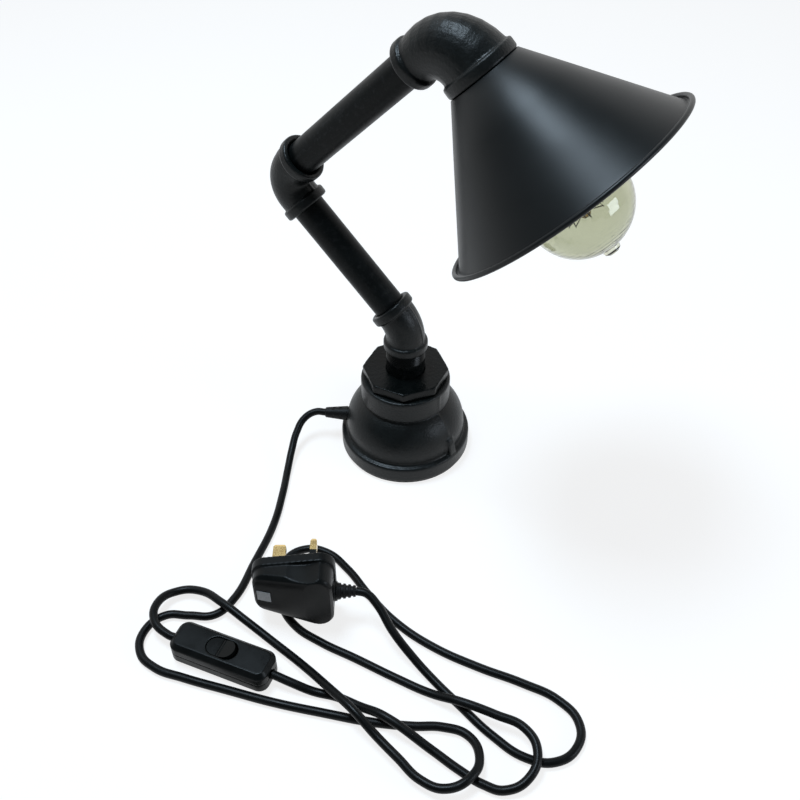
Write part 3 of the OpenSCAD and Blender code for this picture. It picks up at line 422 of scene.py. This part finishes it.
def metal(name, colour, dull, low, high):
    """Bare metal, low to high rough on its drawn surface, and dull where it is tarnished."""
    material, shader = new_material(name, colour, (low + high) / 2, metallic=1.0)
    tarnish = grain(material, 160.0, 4.0, 0.6)
    lines = grain(material, 2200.0, 2.0, 0.5)
    tone = tint(material, tarnish, dull, colour, 0.3, 0.6)
    plug_in(material, tone, shader, "Base Color")
    rough = spread(material, lines, low, high)
    plug_in(material, rough, shader, "Roughness")
    relief(material, shader, [(lines, 0.00002, 0.25)])
    return material


def envelope_glass():
    """Smoked olive bulb glass; the wall looks darker where it is seen edge on."""
    material, shader = new_material("envelope_glass", (0.68, 0.69, 0.57), 0.0)
    edge = material.node_tree.nodes.new("ShaderNodeLayerWeight")
    edge.inputs["Blend"].default_value = 0.5
    tone = tint(material, edge.outputs["Facing"], (0.68, 0.69, 0.565), (0.22, 0.22, 0.15),
                0.68, 0.92)
    plug_in(material, tone, shader, "Base Color")
    shader.inputs["Transmission Weight"].default_value = 1.0
    shader.inputs["IOR"].default_value = 1.45
    waves = grain(material, 45.0, 2.0, 0.4)
    relief(material, shader, [(waves, 0.0002, 0.12)])
    return material


def stem_glass():
    """Amber glass stem inside the bulb."""
    material, shader = new_material("stem_glass", (0.80, 0.50, 0.16), 0.03)
    shader.inputs["Transmission Weight"].default_value = 1.0
    shader.inputs["IOR"].default_value = 1.48
    relief(material, shader, [(grain(material, 150.0, 2.0, 0.4), 0.0002, 0.2)])
    return material


def insulator_glass():
    """Black glass between the bulb cap and its contact."""
    material, shader = new_material("insulator_glass", (0.02, 0.02, 0.03), 0.12)
    relief(material, shader, [(grain(material, 500.0, 2.0, 0.4), 0.0001, 0.3)])
    return material


def ceramic():
    """Off-white ceramic of the lampholder core and the fuse."""
    material, shader = new_material("ceramic", (0.74, 0.72, 0.67), 0.4)
    clay = grain(material, 400.0, 4.0, 0.6)
    tone = tint(material, clay, (0.68, 0.66, 0.6), (0.78, 0.76, 0.71))
    plug_in(material, tone, shader, "Base Color")
    relief(material, shader, [(clay, 0.00006, 0.4)])
    return material


def label_grey():
    """Bare brushed label plate on the plug."""
    material, shader = new_material("label_grey", (0.46, 0.47, 0.48), 0.34, metallic=0.25)
    brushed = grain(material, 900.0, 3.0, 0.6)
    tone = tint(material, brushed, (0.42, 0.43, 0.44), (0.52, 0.53, 0.54))
    plug_in(material, tone, shader, "Base Color")
    relief(material, shader, [(brushed, 0.00003, 0.3)])
    return material


# ---- Shaping helpers ----

def deselect_all():
    for thing in bpy.context.view_layer.objects:
        thing.select_set(False)


def make_active(piece):
    deselect_all()
    piece.select_set(True)
    bpy.context.view_layer.objects.active = piece


def merged_copy(node, name):
    """A copy of a CAD node's mesh, its loose triangles merged, to be refined."""
    piece = bpy.data.objects.new(name, frame["nodes"][node].data.copy())
    bpy.context.scene.collection.objects.link(piece)
    piece.data.materials.clear()
    make_active(piece)
    bpy.ops.object.mode_set(mode="EDIT")
    bpy.ops.mesh.select_all(action="SELECT")
    bpy.ops.mesh.remove_doubles(threshold=0.000004)
    bpy.ops.object.mode_set(mode="OBJECT")
    return piece


def soften(piece, voxel, rounds):
    """Rounds every edge and inside corner; voxel is the finest detail kept, in metres."""
    make_active(piece)
    skin = piece.modifiers.new("skin", "REMESH")
    skin.mode = "VOXEL"
    skin.voxel_size = voxel
    skin.use_smooth_shade = True
    bpy.ops.object.modifier_apply(modifier="skin")
    ease = piece.modifiers.new("ease", "SMOOTH")
    ease.factor = 0.5
    ease.iterations = rounds
    bpy.ops.object.modifier_apply(modifier="ease")
    bpy.ops.object.shade_smooth()


def finish_piece(piece, node, body, material):
    """Paints a new piece and sets it in the place of a CAD node."""
    piece.data.materials.append(material)
    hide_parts(node)
    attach(piece, body)


def softened_piece(node, name, body, voxel, rounds, material):
    """Stands in for a CAD node with the same shape and eased edges."""
    piece = merged_copy(node, name)
    soften(piece, voxel, rounds)
    finish_piece(piece, node, body, material)


# ---- The shade ----

def spun(name, outline, centre, axis, steps):
    """Turns a closed outline of (radius, distance along the axis) points round the axis."""
    axis = Vector(axis).normalized()
    side = axis.orthogonal().normalized()
    bpy.ops.mesh.primitive_circle_add(vertices=len(outline), radius=0.01)
    piece = bpy.context.object
    piece.name = name
    for corner, (radius, along) in zip(piece.data.vertices, outline):
        corner.co = Vector(centre) + axis * along + side * radius
    make_active(piece)
    bpy.ops.object.mode_set(mode="EDIT")
    bpy.ops.mesh.select_all(action="SELECT")
    bpy.ops.mesh.spin(steps=steps, angle=math.tau, center=centre, axis=axis)
    bpy.ops.mesh.select_all(action="SELECT")
    bpy.ops.mesh.remove_doubles(threshold=0.00001)
    bpy.ops.mesh.normals_make_consistent(inside=False)
    bpy.ops.object.mode_set(mode="OBJECT")
    bpy.ops.object.shade_smooth_by_angle(angle=math.radians(32.0))
    return piece


def shade_outline():
    """Half section of the shade: flat top, straight cone, flat flange and curled edge."""
    top, sheet, flange = 0.0270, 0.0009, 0.1009
    hole, neck, slope = 0.00525, 0.02175, 0.6905
    band = 0.0245
    outer_cone_end, outer_bend = 0.0988, 0.0998
    inner_cone_end, inner_bend = 0.0990, 0.1002
    outer_flange_r, inner_flange_r, lip_r = 0.0735, 0.0732, 0.0748
    curl_radius, curl_along, curl_r = 0.0756, 0.1005, 0.0015
    curl_start, curl_sweep, curl_steps = 165.0, 285.0, 18
    wall = sheet * math.hypot(1.0, slope)

    def cone(along):
        return neck + (along - top) * slope

    outer = [(hole, top), (neck - 0.0004, top), (neck, top + 0.0002)]
    outer += [(cone(top + band * i), top + band * i) for i in (1, 2)]
    outer += [(cone(outer_cone_end), outer_cone_end),
              (cone(outer_bend + 0.0002), outer_bend),
              (outer_flange_r - 0.0007, flange - 0.0003), (outer_flange_r, flange)]
    turns = [math.radians(curl_start + curl_sweep * i / curl_steps)
             for i in range(curl_steps + 1)]
    edge = [(curl_radius + curl_r * math.cos(turn), curl_along + curl_r * math.sin(turn))
            for turn in turns]
    inner = [(lip_r, flange + sheet), (inner_flange_r, flange + sheet),
             (inner_flange_r - 0.0010, flange + 0.0005),
             (cone(inner_bend) - wall, inner_bend),
             (cone(inner_cone_end) - wall, inner_cone_end)]
    inner += [(cone(top + band * i) - wall, top + band * i) for i in (2, 1)]
    inner += [(neck - wall + 0.0006, top + sheet), (hole, top + sheet)]
    return outer + edge + inner


def add_shade():
    """Spun shade with its curled edge; at rest it hangs parallel to the lower arm."""
    joints = {joint["name"]: joint for joint in frame["record"]["behaviour"]["joints"]}
    elbow = Vector(joints["head_swivel"]["pos_m"])
    axis = -Vector(joints["arm_swivel"]["axis"])
    piece = spun("spun_shade", shade_outline(), elbow, axis, 160)
    finish_piece(piece, "shade", "head", shade_paint())


# ---- The flex ----

def flex(name, points, material, node):
    """A round flex along its route, closed at both ends."""
    line = bpy.data.curves.new(name, "CURVE")
    line.dimensions = "3D"
    line.bevel_depth = FLEX_R
    line.bevel_resolution = 5
    line.resolution_u = 8
    line.use_fill_caps = True
    run = line.splines.new("BEZIER")
    run.bezier_points.add(len(points) - 1)
    for knot, place in zip(run.bezier_points, points):
        knot.co = place
        knot.handle_left_type = "AUTO"
        knot.handle_right_type = "AUTO"
    piece = bpy.data.objects.new(name, line)
    bpy.context.scene.collection.objects.link(piece)
    finish_piece(piece, node, "base", material)
    return piece


def add_flexes():
    sheath = flex_sheath()
    lead = flex("flex_to_switch", LEAD, sheath, "cord_lead")
    tail = flex("flex_to_plug", TAIL, sheath, "cord_tail")


# ---- The pieces ----

def add_castings():
    paint = cast_paint()
    for node, name, body, voxel, rounds in [
            ("base_reducer", "base_casting", "base", 0.0008, 4),
            ("elbow_half", "half_elbow_casting", "lower_arm", 0.0005, 5),
            ("elbow_square", "square_elbow_casting", "upper_arm", 0.0005, 5),
            ("elbow_reducing", "reducing_elbow_casting", "head", 0.0006, 5)]:
        softened_piece(node, name, body, voxel, rounds, paint)
    softened_piece("base_bush", "bush_casting", "base", 0.0005, 4, neck_paint())


def add_mouldings():
    shell = moulded_black("switch_black", 0.26, 0.38, 0.00004)
    for node, name in [("switch_bottom", "switch_lower_shell"),
                       ("switch_top", "switch_upper_shell")]:
        softened_piece(node, name, "base", 0.0004, 3, shell)
    plug = moulded_black("plug_black", 0.3, 0.42, 0.00005)
    softened_piece("plug_body", "plug_shell", "base", 0.0005, 4, plug)


def paint_node(node, material):
    """Gives a CAD node, whose shape stays, a finish of its own."""
    piece = frame["nodes"][node]
    piece.data.materials.clear()
    piece.data.materials.append(material)


def paint_cad_nodes():
    pipe = pipe_paint()
    rubber = boot_rubber()
    sheath = bpy.data.materials["flex_sheath"]
    brass = metal("brass", (0.82, 0.62, 0.28), (0.6, 0.42, 0.18), 0.16, 0.34)
    nickel = metal("dull_steel", (0.62, 0.61, 0.58), (0.45, 0.44, 0.42), 0.25, 0.45)
    wire = metal("support_wire", (0.13, 0.11, 0.08), (0.07, 0.055, 0.04), 0.3, 0.45)
    filament = metal("filament_wire", (0.10, 0.08, 0.06), (0.05, 0.04, 0.03), 0.4, 0.6)
    black = moulded_black("fitting_black", 0.32, 0.46, 0.00004)
    rocker = moulded_black("rocker_black", 0.2, 0.3, 0.00002)
    finishes = {
        pipe: ["lower_pipe", "upper_pipe"],
        bpy.data.materials["neck_paint"]: ["neck_nipple"],
        rubber: ["cord_boot", "plug_boot"],
        sheath: ["flex_base", "flex_lower", "flex_upper", "flex_head"],
        foot_foam(): ["foot_pad"],
        brass: ["pin_earth", "pin_line", "pin_neutral", "holder_shell", "holder_contact",
                "bulb_cap"],
        nickel: ["holder_plug", "holder_stud", "switch_screws", "bulb_contact"],
        wire: ["bulb_hooks_low", "bulb_hooks_high"],
        filament: ["bulb_filament"],
        black: ["holder_cap", "holder_skirt", "sleeve_line", "sleeve_neutral",
                "fuse_carrier"],
        rocker: ["switch_rocker"],
        insulator_glass(): ["bulb_insulator"],
        ceramic(): ["holder_core", "fuse_link"],
        label_grey(): ["plug_label"],
        envelope_glass(): ["bulb_glass"],
        stem_glass(): ["bulb_stem"],
    }
    for material, members in finishes.items():
        for node in members:
            paint_node(node, material)


add_camera()
add_flexes()
add_table()
add_sky()
add_lights()
add_castings()
add_mouldings()
add_shade()
paint_cad_nodes()
